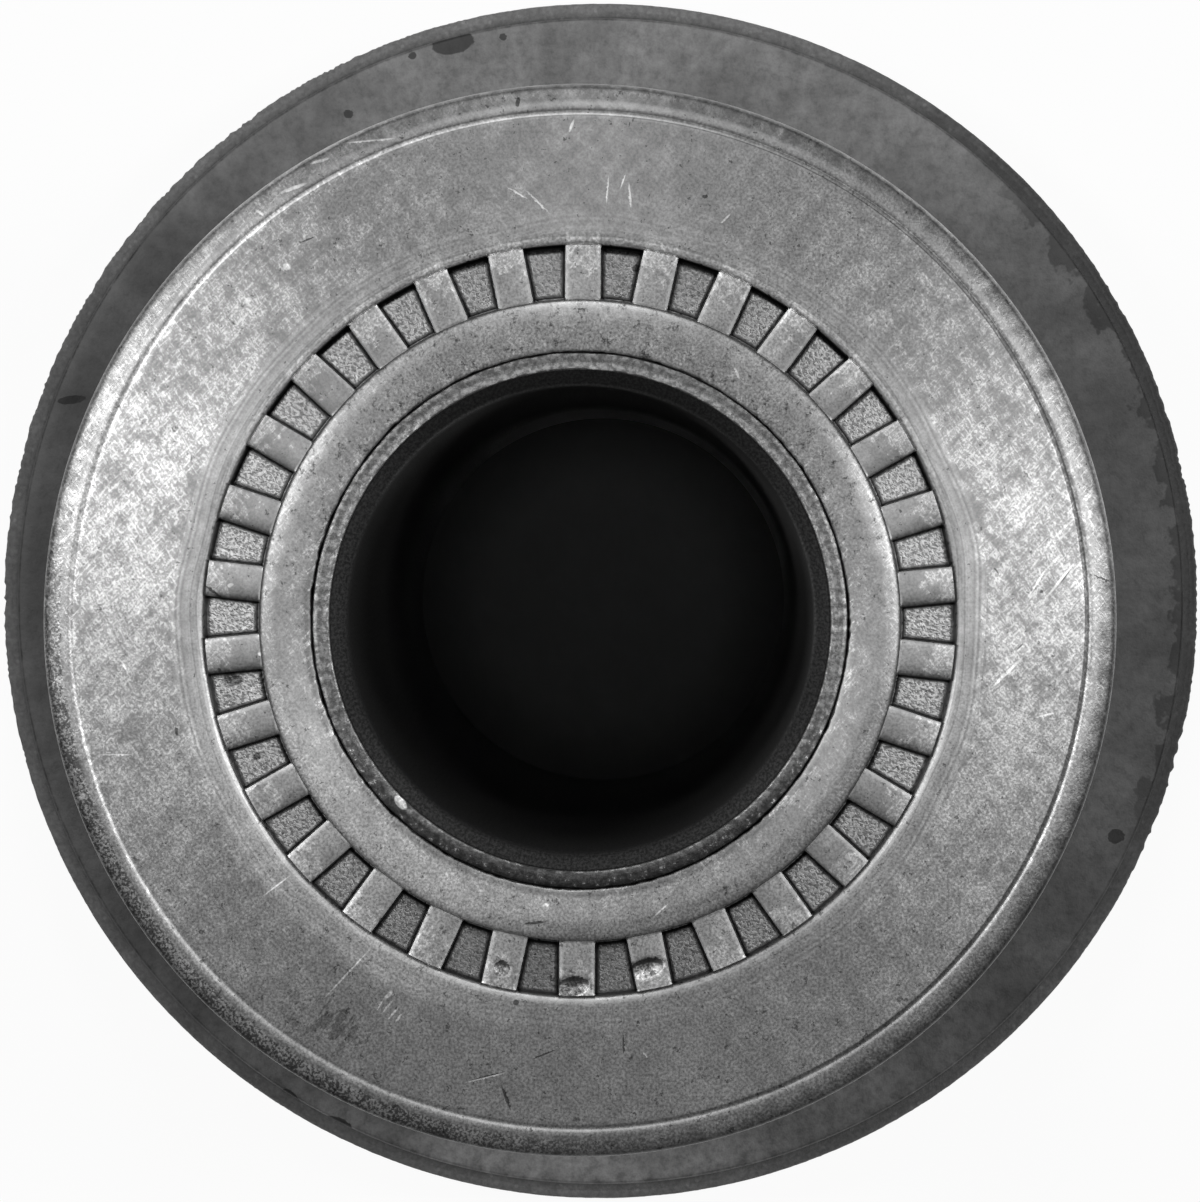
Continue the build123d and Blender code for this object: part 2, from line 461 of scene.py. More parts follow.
class BUSH_PG_shell(bpy.types.PropertyGroup):
    phosphate: FloatVectorProperty(
        name="Phosphate", description="Colour of the grey phosphate coat", subtype="COLOR",
        default=(0.115, 0.115, 0.115), min=0, max=1)


class BUSH_PG_rubber(bpy.types.PropertyGroup):
    rubber: FloatVectorProperty(
        name="Rubber", description="Colour of the rubber", subtype="COLOR",
        default=(0.03, 0.03, 0.03), min=0, max=1)
    notches: IntProperty(
        name="Notches", description="Number of notches in the bumper's foot", default=8, min=0)
    ripple: FloatProperty(
        name="Lip Ripple", description="Depth of the ripple along the lip's edge",
        subtype="DISTANCE", unit="LENGTH", default=0.08 * MM, min=0, precision=6)


class BUSH_PG_stage(bpy.types.PropertyGroup):
    floor: FloatVectorProperty(
        name="Floor", description="Colour of the floor and backdrop", subtype="COLOR",
        default=(0.9, 0.9, 0.9), min=0, max=1)
    camera_height: FloatProperty(
        name="Camera Height", description="Height of the camera above the head's face",
        subtype="DISTANCE", unit="LENGTH", default=195.3 * MM, min=0)
    sky: FloatProperty(
        name="Room Light", description="Strength of the even light of the room", default=0.08, min=0)


# ======== inner sleeve

NOMINAL_HEAD_R = 16.0         # the head's sections below are drawn for this radius
CHIP_DEPTH = 0.03             # of the small chips round the edge of the sleeve's bore, in mm
NICK_DEPTH = 0.015            # of the nicks along the head's outer bevel, in mm
FLOOR_EDGE = 0.02             # a pocket's floor is painted from this far outside a rib's flank, in mm
CREST_EDGE = 0.03             # and a rib's crest from this far inside it
PLAIN_TONE = 0.86             # how light the steel is before its wear
PLAIN_ROUGHNESS = 0.41

# Dents in the ribs: middle x, y, half length, half width in mm, turn in degrees, depth in mm, and shine, the
# strength of the painted highlight in each dent's lower part
DENTS = (
    ((1.97, -10.36), 0.58, 0.30, 18, 0.10, 0.70),
    ((-0.20, -10.89), 0.50, 0.30, 8, 0.09, 0.30),
    ((-2.33, -10.36), 0.26, 0.24, 0, 0.05, 0.48),
)
# Light and dark scratches and chips: middle x, y, half length, half width in mm, turn in degrees
BRIGHT_MARKS = (
    ((14.26, 1.14), 0.89, 0.05, 51), ((13.60, 1.10), 0.60, 0.04, 58), ((12.72, -1.55), 0.78, 0.06, 45),
    ((13.85, -2.82), 0.36, 0.04, 14), ((-2.83, -13.62), 0.70, 0.035, 14), ((2.42, -8.62), 0.32, 0.03, 42),
    ((4.68, 7.35), 0.22, 0.045, -68), ((1.95, -12.94), 0.14, 0.035, -50), ((-10.95, 0.70), 0.25, 0.07, -20),
    ((-10.41, 1.05), 0.12, 0.07, 20), ((-9.54, -1.0), 0.09, 0.08, 0), ((-13.79, -4.0), 0.60, 0.03, 0),
    ((-13.56, -1.37), 0.23, 0.035, -63), ((-8.54, 12.87), 0.50, 0.07, 20), ((-7.75, 13.68), 0.35, 0.06, 15),
    ((-9.55, 12.15), 0.18, 0.06, -30), ((-6.29, 14.28), 0.90, 0.035, 5), ((-8.73, 10.53), 0.15, 0.13, 0),
    ((-9.89, 9.52), 0.15, 0.11, 40), ((-6.95, -10.54), 1.07, 0.035, 47), ((-9.03, -7.9), 0.56, 0.03, 37),
    ((-5.70, -11.15), 0.22, 0.07, 45), ((-5.73, -11.50), 0.30, 0.04, 50), ((-5.55, -11.69), 0.30, 0.04, 50),
    ((-5.40, -11.84), 0.22, 0.04, 52), ((-5.95, -11.45), 0.22, 0.03, 60), ((-1.01, -8.47), 0.12, 0.07, 10),
    ((0.82, 12.81), 0.50, 0.03, 85), ((1.49, 12.64), 0.45, 0.04, -85), ((1.28, 13.07), 0.28, 0.03, 70),
    ((-1.26, 12.46), 0.55, 0.04, -45), ((-1.86, 12.72), 0.40, 0.03, -30), ((4.33, 11.95), 0.25, 0.04, 45),
    ((-0.25, 14.72), 0.25, 0.05, 70),
)
DARK_MARKS = (
    ((-2.75, -13.56), 0.62, 0.022, 14), ((14.45, 1.30), 0.26, 0.02, 54), ((13.1, -0.78), 0.16, 0.02, 45),
    ((-1.05, -12.91), 0.42, 0.03, 22), ((1.30, -12.62), 0.32, 0.035, -88), ((-2.2, -14.2), 0.45, 0.05, -70),
    ((-10.93, 0.86), 0.36, 0.045, -36), ((12.4, 1.48), 0.14, 0.03, -50), ((-12.01, -3.3), 0.16, 0.05, -80),
    ((-10.36, -1.77), 0.36, 0.21, 0), ((-9.65, -4.07), 0.13, 0.12, 0), ((-1.9, -11.37), 0.10, 0.10, 0),
    ((-1.34, -9.0), 0.36, 0.05, 6), ((-8.12, 11.33), 0.27, 0.03, 22), ((3.72, 12.62), 0.10, 0.06, 0),
    ((1.67, 10.50), 0.14, 0.12, 30), ((13.74, 0.86), 0.06, 0.05, 0), ((-1.85, 15.43), 0.17, 0.08, 80),
    ((15.55, 1.25), 0.32, 0.03, -22),
)
GRIME_STAIN = ((-7.4, -12.0), 2.2, 1.2, -25, 0.0)   # the same, then the share of it that is solid

# Section of the face without its pockets, inwards to outwards, below the face's highest point
FACE_SECTION = (
    (8.0, -0.12), (8.01, -0.08), (8.03, -0.064), (8.08, -0.054), (8.2, -0.045), (8.9, -0.003), (9.05, -0.002),
    (9.15, -0.008), (9.25, -0.014), (9.32, -0.020), (9.38, -0.027), (9.44, -0.037), (9.48, -0.047),
    (9.51, -0.058), (9.54, -0.078), (9.56, -0.12), (11.20, -0.095), (11.23, -0.054), (11.25, -0.042),
    (11.27, -0.034), (11.30, -0.025), (11.34, -0.016), (11.40, -0.006), (11.46, 0.0), (14.95, -0.080),
    (15.04, -0.083), (15.09, -0.090), (15.13, -0.093), (15.17, -0.088), (15.21, -0.078), (15.25, -0.072),
    (15.30, -0.072), (15.35, -0.076), (15.42, -0.082), (15.50, -0.090), (15.60, -0.101), (15.70, -0.115),
    (15.80, -0.135), (15.88, -0.160), (15.93, -0.19), (15.965, -0.23), (15.985, -0.28), (16.0, -0.38),
)
FACE_RADII = [r for r, z in FACE_SECTION]
FACE_HEIGHTS = [SLEEVE_TOP + z for r, z in FACE_SECTION]
# Heights below the face where a rib's outer end meets it, with a thin seam between them
RIB_END_RADII = [11.16, 11.18, 11.20, 11.23, 11.25, 11.27, 11.30, 11.34]
RIB_END_HEIGHTS = [-0.12, -0.13, -0.17, -0.12, -0.050, -0.036, -0.025, -0.016]
# Radii of the face's rings of points: inside the ribs, across them, and outside them
INNER_LAND_ROWS = [8.0, 8.01, 8.03, 8.08, 8.2, 8.4, 8.6, 8.9, 9.05]
RING_ROWS = [
    *(r for r in FACE_RADII if 9.1 < r < 9.57), 9.58, 9.60, *np.linspace(9.63, 11.11, 27),
    11.135, 11.16, 11.18, *(r for r in FACE_RADII if 11.19 < r < 11.35)]
OUTER_FACE_ROWS = [
    11.40, 11.46, *np.linspace(11.60, 14.95, 17), *(r for r in FACE_RADII if 15 < r < 15.27),
    15.28, 15.31, *(r for r in FACE_RADII if r > 15.32)]


def head_angles(radius):
    """Angles of all the head's columns at this radius, with each rib's columns parallel to its middle."""
    offsets = np.concatenate([-RIB_OFFSETS, [0.0], RIB_OFFSETS[::-1]])
    rib = np.arcsin(offsets / radius)
    pocket = np.linspace(rib[-1], SECTOR + rib[0], POCKET_COLUMNS + 2)[1:-1]
    middles = math.radians(RIB_START) + SECTOR * np.arange(RIB_COUNT)
    return (middles[:, None] + np.concatenate([rib, pocket])[None, :]).ravel()


def rib_height(offset):
    """Height across a rib at this distance from its middle, down to the pocket's floor."""
    crown = SLEEVE_TOP - RIB_SINK - RIB_CROWN * (offset / RIB_HALF) ** 4
    shoulder = np.interp(offset, RIB_SHOULDER, [0, 0.02])
    floor = SLEEVE_TOP - POCKET_DEPTH
    flank = np.interp(offset, [RIB_SHOULDER[1], RIB_FOOT], [0, 1])
    return np.where(offset < RIB_FOOT, (crown - shoulder) * (1 - flank) + floor * flank, floor)


def dent_depth(x, y):
    """How far the dents sink the metal at these places."""
    deepest = np.zeros_like(x)
    for (cx, cy), half_length, half_width, turn, depth, _ in DENTS:
        a = math.radians(turn)
        u = ((x - cx) * math.cos(a) + (y - cy) * math.sin(a)) / half_length
        v = (-(x - cx) * math.sin(a) + (y - cy) * math.cos(a)) / half_width
        deepest = np.maximum(deepest, depth * np.clip(1 - u * u - v * v, 0, 1))
    return deepest


def head_height(radius, angles, grain):
    """Heights of the serrated ring's points at one radius; grain is the floor's roughness in mm."""
    offset = np.abs(radius * np.sin(nearest_turn(angles, SECTOR, math.radians(RIB_START))))
    on_floor = offset >= RIB_FOOT - 1e-6
    on_crest = offset <= RIB_HALF
    rough = np.random.default_rng(int(radius * 1000)).normal(0, 1, len(angles))
    dent = dent_depth(radius * np.cos(angles), radius * np.sin(angles))
    inside = rib_height(offset) + np.where(on_floor, rough * grain, -dent)
    edge = np.interp(radius, FACE_RADII, FACE_HEIGHTS)
    flush = SLEEVE_TOP + np.interp(radius, RIB_END_RADII, RIB_END_HEIGHTS)
    edge = np.where(on_crest, flush if radius > 10 else np.maximum(edge, rib_height(offset)), edge)
    wall = np.interp(radius, POCKET_WALLS, [0, 1, 1, 0])
    wall = np.where(on_crest & (radius > 10), radius < 11.19, wall)
    return edge * (1 - wall) + inside * wall


def barrel_section():
    """Section of the sleeve below its face: rim, cone, rounded neck, barrel, plain end and bore."""
    rim = [(NOMINAL_HEAD_R, z) for z in np.linspace(59.4, 57.5, 6)]
    rim += arc((15.6, 57.2), 0.4, 0, -36, 4)
    cone = line((15.84, 56.93), (12.6, 54.6), 6)
    neck = arc((BARREL_R + 1.9, 53.2), 1.9, 125, 180, 8)
    barrel = line((BARREL_R, 52.6), (BARREL_R, 0.7), 24)
    foot = arc((BARREL_R - 0.6, 0.6), 0.6, 0, -90, 6)
    end = line((BARREL_R - 0.7, 0.0), (8.3, 0.0), 4)
    mouth = [(8.2, 0.0), (8.1, 0.03), (8.03, 0.1), (8.0, 0.2)]
    bore = line((8.0, 1.0), (8.0, 59.4), 6)
    return rim + cone + neck + barrel + foot + end + mouth + bore


def make_inner_sleeve(settings):
    """The forged sleeve as one closed skin, fine round the ribs and coarser elsewhere."""
    grain = settings.pocket_grain / MM
    widened = HEAD_R / NOMINAL_HEAD_R
    rings = []
    for radius in INNER_LAND_ROWS:
        angles = head_angles(radius)[::2]
        height = np.interp(radius, FACE_RADII, FACE_HEIGHTS)
        chipped = CHIP_DEPTH * waves(angles, 11, 30, 90) * np.interp(radius, [8.0, 8.1], [1, 0])
        rings.append(ring(radius + np.abs(chipped), height, angles))
    for radius in RING_ROWS:
        angles = head_angles(radius)
        rings.append(ring(radius, head_height(radius, angles, grain), angles))
    for radius in OUTER_FACE_ROWS:
        angles = head_angles(radius)[::2]
        height = np.interp(radius, FACE_RADII, FACE_HEIGHTS)
        nicks = NICK_DEPTH * waves(angles, 5, 20, 120) * np.interp(radius, [15.4, 15.9], [0, 1])
        rings.append(ring(radius * widened, height - np.abs(nicks), angles))
    below = head_angles(HEAD_R)[::4]
    for radius, height in barrel_section():
        rings.append(ring(radius * (widened if radius > 15 else 1.0), height, below))
    made = skin("serrated_inner_sleeve", rings)
    paint_head(made, np.concatenate(rings))
    return made


def paint_head(made, points):
    """Stores where the head's ribs and pocket floors are, and the painted shade and shadows in their corners
    and along their edges.
    """
    x, y, z = points.T
    radius, angle = np.hypot(x, y), np.arctan2(y, x)
    turn = nearest_turn(angle, SECTOR, math.radians(RIB_START))
    offset = np.abs(radius * np.sin(turn))
    up = y / np.maximum(radius, 1e-9)
    upper, lower = np.clip(up, 0, 1), np.clip(-up, 0, 1)
    on_top = z > SLEEVE_TOP - 1
    in_ring = on_top & (radius > RING_IN) & (radius < RING_OUT)
    from_flank = offset - RIB_HALF
    from_end = np.minimum(radius - RING_IN, RING_OUT - radius)
    floor = in_ring & (from_flank > FLOOR_EDGE)
    rib = in_ring & (from_flank <= FLOOR_EDGE)
    crest = in_ring & (from_flank <= -CREST_EDGE)

    # painted shade in the pockets' corners and at the foot of their walls, with painted shadows that reach
    # further below the outer wall at the top and beside the inner ring at the bottom; pad is the clean grain
    # between, with a painted highlight along its rim
    beside = np.exp(-np.clip(from_flank - 0.05, 0, 9) / 0.03)
    inner = np.exp(-np.clip(radius - 9.63, 0, 9) / (0.03 + 0.12 * lower))
    reach = 0.03 + 0.19 * upper * np.clip(from_flank / 0.12, 0.3, 1)
    outer = np.clip((radius - (11.19 - reach)) / 0.03, 0, 1)
    wall = np.where(radius > 11.15, 0.25 + 0.7 * upper, 0)
    edge = np.clip(np.minimum(from_flank - 0.05, from_end - 0.05), 0, 9)
    margin = 0.4 * np.exp(-((edge / 0.12) ** 2))
    corner = np.clip(np.maximum.reduce([beside, inner, outer, wall]) + margin, 0, 1)
    pad = np.clip((edge - 0.02) / 0.08, 0, 1) * (1 + 0.5 * np.exp(-(((edge - 0.10) / 0.045) ** 2)))

    # painted shade on the side of each rib that faces down the face, and the face just outside each rib's end
    downwards = -radius * np.sin(turn) * np.cos(angle)
    beyond = on_top & (radius > 11.0) & (radius < 11.62) & (offset < 0.5) & ~in_ring
    paint(made, "pocket", np.where(floor, pad, 0))
    paint(made, "floor", floor.astype(float))
    paint(made, "rib", 0.3 * rib + 0.7 * crest)
    # corner holds painted shade: in the pockets, and along the ribs' edges
    paint(made, "corner", np.where(floor, corner, np.where(rib & ~crest, 0.35, 0)))
    paint(made, "lower_edge_shade", np.where(rib, np.clip((downwards + 0.05) / 0.55, 0, 1), 0))
    paint(made, "rib_path", beyond * np.clip((11.75 - radius) / 0.5, 0, 1))


# Rings of the head's face: chipped, turned and contact differ in finish, and the rest place painted light and
# shade; inner and outer radius and fade, in mm
FACE_RINGS = {
    "chipped": (8.0, 8.16, 0.16),
    "over_ribs": (11.22, 11.4, 0.06),
    "turned": (11.3, 12.0, 0.35),
    "contact": (12.5, 15.0, 0.8),
    "groove": (15.05, 15.15, 0.04),
    "crest": (15.08, 15.17, 0.03),
    "shoulder": (15.1, 15.36, 0.06),
    "ridge": (15.17, 15.33, 0.06),
    "step": (15.2, 15.4, 0.08),
    "brink": (15.92, 16.0, 0.05),
}


def serrated_steel(settings):
    """Bare forged steel: scuffed contact face, smooth turned band, coined ribs, blasted pockets, with much of
    its light and shade painted by direction round the axis.
    """
    material, g, shader, (flat, radius, angle, height) = surface("serrated_steel")
    names = ("pocket", "floor", "rib", "corner", "lower_edge_shade", "rib_path")
    pocket, floor, rib, corner, lower_edge_shade, rib_path = (g.attribute(n) for n in names)

    # patterns
    grain = g.noise(flat, 12.0, 1.0, 0.7)
    slant = g.noise(g.turned(flat, -45, (0.45, 1.3, 1.0)), 2.2, 3.0, 0.72)
    counter = g.noise(g.turned(flat, 50, (0.5, 1.3, 1.0)), 2.2, 2.0, 0.8)
    mottle = g.product(g.total(slant, counter), 0.5)
    broad = g.noise(flat, 0.45, 2.0, 0.6)
    strokes = g.mask("Crossed Strokes", Place=flat, Width=0.075, Length=0.35)
    worms = g.mask("Worm Grain", Place=flat, Size=0.075)
    lathe = g.mask("Turning Marks", Along=radius, Place=flat, Pitch=0.15)
    pits = g.noise(g.shift(flat, (31, 17, 0)), 2.5, 3.0, 0.9)

    # directions round the axis, along which light and shade are painted
    up = g.math("SINE", angle)
    right = g.fit(g.facing(angle), -0.6, 0.8)
    top = g.fit(up, 0.35, 0.8)
    side = g.math("POWER", g.math("ABSOLUTE", g.facing(angle, -0.1)), 1.6)

    # zones of the face, with uneven borders
    on_face = g.fit(height, SLEEVE_TOP - 0.6, SLEEVE_TOP - 0.55)
    zone = {name: g.band(radius, *limits) for name, limits in FACE_RINGS.items()}
    shaky = g.total(radius, g.ramp(mottle, 0.0, 1.0, -1.5, 1.5))
    scuffed = g.product(g.band(shaky, 12.3, 15.4, 0.6), zone["contact"], on_face)
    bevel = g.product(g.fit(radius, 15.4, 15.55), on_face)
    # ridge, brink, mouth, shoulder, over_ribs and lower_left only place painted highlights and painted shade;
    # land is also painted lighter at the top and bottom
    ridge = g.product(zone["ridge"], on_face, g.math("SUBTRACT", 1.0, top))
    brink = g.product(zone["brink"], g.fit(g.facing(angle, 1.2), 0.2, 0.7))
    land = g.product(g.fade(radius, 9.5, 9.56), on_face)
    turned = g.product(zone["turned"], on_face)
    mouth = g.product(g.fade(radius, 8.15, 8.35), on_face, g.fit(g.facing(angle, -2.0), -0.2, 0.6))
    shoulder = g.product(zone["shoulder"], g.fit(g.facing(angle, 2.65), 0.88, 0.98))
    over_ribs = g.product(zone["over_ribs"], g.fit(up, 0.1, 0.6))
    lower_left = g.product(g.fit(g.facing(angle, -2.36), 0.72, 1.0), g.fade(radius, 11.9, 12.6))

    # wear: where strokes and crumbs of bright metal lie, heavier towards the sides and the top as painted
    # glints, with a painted highlight on the land's rounded edge
    patches = g.fit(g.total(mottle, g.product(broad, 0.4), g.product(side, 0.14)), 0.62, 0.98)
    land_edge_sheen = g.band(g.total(radius, g.product(mottle, 0.6)), 9.5, 9.85, 0.12)
    wear_and_glints = g.total(
        g.product(scuffed, patches, g.mix(side, 0.12, 1.0), g.fit(up, -0.9, 0.1, 0.4, 1.0)),
        g.product(rib, g.fit(g.total(radius, g.product(mottle, 4.0)), 12.5, 12.8), 0.6),
        g.product(land_edge_sheen, land, side, 0.25),
        g.product(zone["chipped"], on_face, g.fit(slant, 0.52, 0.6), side),
        g.product(rib_path, g.fit(mottle, 0.35, 0.6), g.fit(up, 0.3, 0.8), 0.5),
    )
    flecked_and_glinting = g.total(
        wear_and_glints,
        g.product(g.fade(radius, 8.6, 9.0), on_face, g.fit(mottle, 0.47, 0.6), 0.25),
        g.product(scuffed, side, 0.3),
        g.product(land, 0.15),
        g.product(bevel, g.mix(side, 0.15, 0.45)),
    )
    crumbs = g.product(g.fit(worms, 0.35, 1.0), g.fit(grain, 0.36, 0.6), 0.75)
    crumbs = g.total(g.product(strokes, 0.85), crumbs)
    flecks_and_glints = g.product(crumbs, flecked_and_glinting, settings.scuffs * 2)
    flecks_and_glints = g.total(g.product(flecks_and_glints, 0.45), g.fit(flecks_and_glints, 0.05, 0.75, 0.0, 0.55))

    # single dents and marks, with frayed edges; each dent gets a painted shadow in its upper crescent and a
    # painted highlight in its lower part
    jitter = g.fit(grain, 0.0, 1.0, -0.03, 0.03)
    torn = g.shift(flat, g.vector(jitter, jitter))
    less = g.product(jitter, 0.65)
    frayed = g.shift(flat, g.vector(less, less))
    bowls = g.ovals(torn, [dent[:4] for dent in DENTS], 0.8)
    lit, gleams = [], []
    for (x, y), half_length, half_width, turn, _, shine in DENTS:
        lower = (x - half_length * 0.1, y - half_width * 0.3)
        lit.append(g.oval(torn, lower, half_length * 0.95, half_width * 0.8, turn, 0.7))
        gleams.append((g.product(lit[-1], rib), g.fit(grain, 0.35, 0.65, shine * 0.6, shine * 1.3)))
    crescents = g.math("SUBTRACT", bowls, g.most(*lit), clamp=True)
    bright = g.product(g.ovals(frayed, BRIGHT_MARKS, 0.1), on_face)
    dark = g.product(g.ovals(frayed, DARK_MARKS), on_face)

    # dirt
    stained = g.product(g.oval(flat, *GRIME_STAIN), on_face, g.fit(slant, 0.5, 0.6), 0.7)
    battered = g.product(bevel, g.fit(g.facing(angle, -2.44), 0.45, 0.9), 0.75)
    crusts = g.fit(g.product(g.total(mottle, grain), 0.5), 0.55, 0.47)
    grime = g.total(stained, g.product(battered, crusts))
    pits = g.total(pits, g.fit(up, -0.9, -0.2, 0.03, 0.0))
    specks = g.product(g.fit(pits, 0.66, 0.72), on_face)
    pitted = g.product(g.fit(pits, 0.55, 0.66), land, g.fit(up, -0.3, 0.6))

    # tone, with light and shade painted by direction round the axis: shade in the pockets' corners, on the
    # ribs' lower edges, in the groove and at the bore's mouth; highlights on the ridge, brink, crest,
    # shoulder, ribs, land, over the ribs and at the lower left
    # painted light and shade on the bevel, by direction round the axis and across its width
    bevel_tone = g.product(
        g.fit(mottle, 0.35, 0.65, 0.88, 1.12),
        g.fit(radius, 15.85, 15.93, 1.0, g.fit(up, -0.6, 0.0, 0.5, 1.0)),
        g.fit(up, -0.8, -0.3, 1.2, 1.0),
        g.fit(up, 0.75, 1.0, 1.1, 0.65),
        g.mix(right, 0.84, 0.6),
        g.mix(right, 1.0, g.fit(radius, 15.35, 15.75, 1.3, 0.85)),
        g.mix(g.product(zone["step"], top), 1.0, 0.62),
    )
    # the pockets' grain shows more at the sides as painted glints, and the floors are painted darker towards
    # the bottom
    worms_seen = g.product(worms, g.fit(side, 0.0, 0.5, 0.4, 0.85))
    floor_tone = g.total(0.6, g.product(pocket, g.total(0.15, worms_seen)))
    floor_tone = g.product(floor_tone, g.fit(up, -0.9, 0.0, 0.72, 1.0))
    tone = g.product(
        g.ramp(grain, 0.3, 0.7, 0.88, 1.12),
        g.ramp(mottle, 0.35, 0.65, 0.86, 1.14),
        g.ramp(broad, 0.35, 0.65, 0.94, 1.06),
        g.fit(radius, 8.9, 9.1, 1.07, 1.0),
        g.total(PLAIN_TONE, g.product(flecks_and_glints, 0.72), g.product(wear_and_glints, 0.3), g.product(bright, 1.2)),
    )
    tone = g.toned(
        tone,
        (g.product(turned, g.mix(side, 0.4, 1.0)), g.ramp(lathe, 0.2, 0.8, 0.82, 1.2)),
        (turned, 1.12),
        (corner, 0.05),
        (g.product(zone["groove"], on_face, right), 0.3),
        (ridge, g.mix(right, g.fit(up, -0.6, -0.15, 1.4, 0.95), 1.1)),
        (brink, 2.6),
        (g.product(zone["crest"], on_face, top), 2.3),
        (lower_edge_shade, 0.45),
        (rib, g.fit(side, 0.3, 0.9, 1.45, 1.0)),
        (land, g.mix(side, 1.25, 0.92)),
        (lower_left, g.mix(g.most(rib, floor), 1.5, 1.15)),
        (lower_left, g.total(g.fit(radius, 8.8, 9.1, 0.9, 1.2), g.fit(radius, 9.4, 9.6, 0.0, -0.2))),
        (over_ribs, 2.1),
        (g.product(rib_path, top), 1.3),
        (mouth, 0.55),
        (shoulder, 1.2),
        (bevel, bevel_tone),
        (grime, 0.3),
        (dark, 0.3),
        (specks, 0.45),
        (pitted, 0.6),
        (floor, floor_tone),
        (crescents, 0.25),
        *gleams,
    )
    g.feed(shader["Base Color"], g.tint(settings.steel, tone))

    # gloss
    rough = g.total(PLAIN_ROUGHNESS, g.product(flecks_and_glints, -0.06), g.ramp(grain, 0.3, 0.7, -0.05, 0.05))
    g.feed(shader["Roughness"], rough)
    shader["Metallic"].default_value = 1.0
    shader["Anisotropic"].default_value = 0.5
    shader["Anisotropic Rotation"].default_value = 0.25
    g.feed(shader["Tangent"], g.node("ShaderNodeTangent", direction_type="RADIAL", axis="Z").outputs[0])

    # relief
    relief = g.total(g.product(grain, g.mix(bevel, 0.06, 0.13)), g.product(worms, pocket, 0.14))
    g.feed(shader["Normal"], bump(g, relief, 0.02))
    return material


class BUSH_OT_inner_sleeve(bpy.types.Operator):
    """Build the inner sleeve with its serrated head"""

    bl_idname = "bush.inner_sleeve"
    bl_label = "Inner Sleeve"

    def execute(self, context):
        settings = context.scene.bush_head
        place(make_inner_sleeve(settings), "serrated_steel", serrated_steel(settings), "inner_sleeve")
        return {"FINISHED"}


# ======== liner tube

LINER_FACE_R = 7.44           # inner edge of the tube's end face
MOUTH_DEPTH = 1.15            # how deep its bore's chamfers go


def liner_section():
    """Section of the liner tube, from its top edge outwards, down, in and up its bore."""
    outer = LINER_R
    neck = outer - 0.015
    below_top = (
        (7.46, 0.03), (7.49, 0.008), (7.53, 0), (7.60, 0.006), (7.66, 0.012), (7.72, 0.010), (7.80, 0),
        (7.88, 0.002), (7.945, 0.012), (7.975, 0.04), (neck, 0.1), (neck, 0.5), (neck, 1.4), (outer, 1.6),
    )
    top = [(radius, LINER_TOP - depth) for radius, depth in below_top]
    outside = line((outer, 50.0), (outer, 3.0), 6)
    foot = [(outer, LINER_FOOT + 0.2), (outer - 0.05, LINER_FOOT + 0.06), (outer - 0.15, LINER_FOOT)]
    foot += [(7.7, LINER_FOOT), (7.54, LINER_FOOT), (7.48, LINER_FOOT + 0.03)]
    low, high = (BORE_R, LINER_FOOT + MOUTH_DEPTH), (BORE_R, LINER_TOP - MOUTH_DEPTH)
    mouth = line((7.46, LINER_FOOT + 0.08), low, 6)
    chamfer = line(high, (LINER_FACE_R, LINER_TOP - 0.1), 10)
    return top + outside + foot + mouth + line(low, high, 30) + chamfer + [(LINER_FACE_R, LINER_TOP - 0.08)]


def make_liner():
    """The pressed-in tube, its end worked a little out of true."""
    angles = round_angles(LINER_COLUMNS)
    rings = []
    for radius, height in liner_section():
        near_top = np.interp(height, [LINER_TOP - 1.5, LINER_TOP - 0.6], [0, 1])
        sway = np.maximum(0.014 * waves(angles, 21, 1, 4) + 0.008 * waves(angles, 22, 20, 60), -0.006)
        outwards = np.interp(radius, [7.5, 7.8], [0, 1]) * near_top
        dips = 0.01 * np.abs(waves(angles, 23, 10, 80)) * near_top
        widest = LINER_R - 0.01 * near_top
        radii = np.minimum(radius + outwards * sway, widest)
        rings.append(ring(radii, height - dips * (radius > 7.5), angles))
    return skin("liner_tube_end", rings, sharp_angle=30.0)


